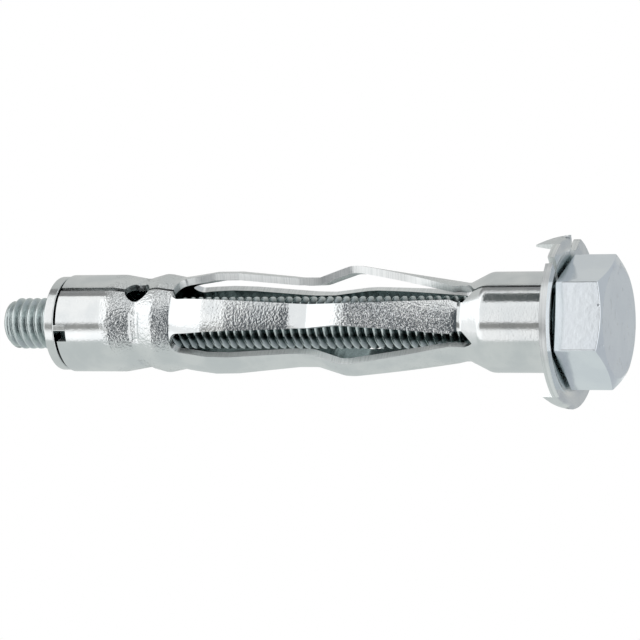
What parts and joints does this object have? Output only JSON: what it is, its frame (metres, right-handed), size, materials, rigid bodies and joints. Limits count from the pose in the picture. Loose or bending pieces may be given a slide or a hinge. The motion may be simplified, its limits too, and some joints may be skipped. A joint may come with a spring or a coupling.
{
  "type": "hollow wall anchor",
  "caption": "Hollow wall anchor: a slotted sheet-steel sleeve with humped legs, a clawed collar and a captive flanged nut, on a hexagon-head machine screw.",
  "frame": {"origin": "centre of the outer face of the screw's head, on which the anchor stands", "axes": "+Z along the screw, from its head to its tip; +X towards the seam of the sleeve"},
  "size_m": [0.0191, 0.0192, 0.0741],
  "materials": {
    "sleeve_zinc": "bright zinc plating on rolled sheet steel",
    "nut_zinc": "bright zinc plating",
    "screw_zinc": "bright zinc plating, slightly blue"
  },
  "bodies": {
    "anchor": {"expansion_sleeve": "sleeve_zinc", "threaded_nut": "nut_zinc"},
    "screw": {"hex_screw": "screw_zinc"}
  },
  "joints": [
    {"name": "screw_turn", "type": "hinge", "parent": "anchor", "child": "screw", "pos_m": [0, 0, 0.0371], "axis": [0, 0, 1], "continuous": true}
  ]
}
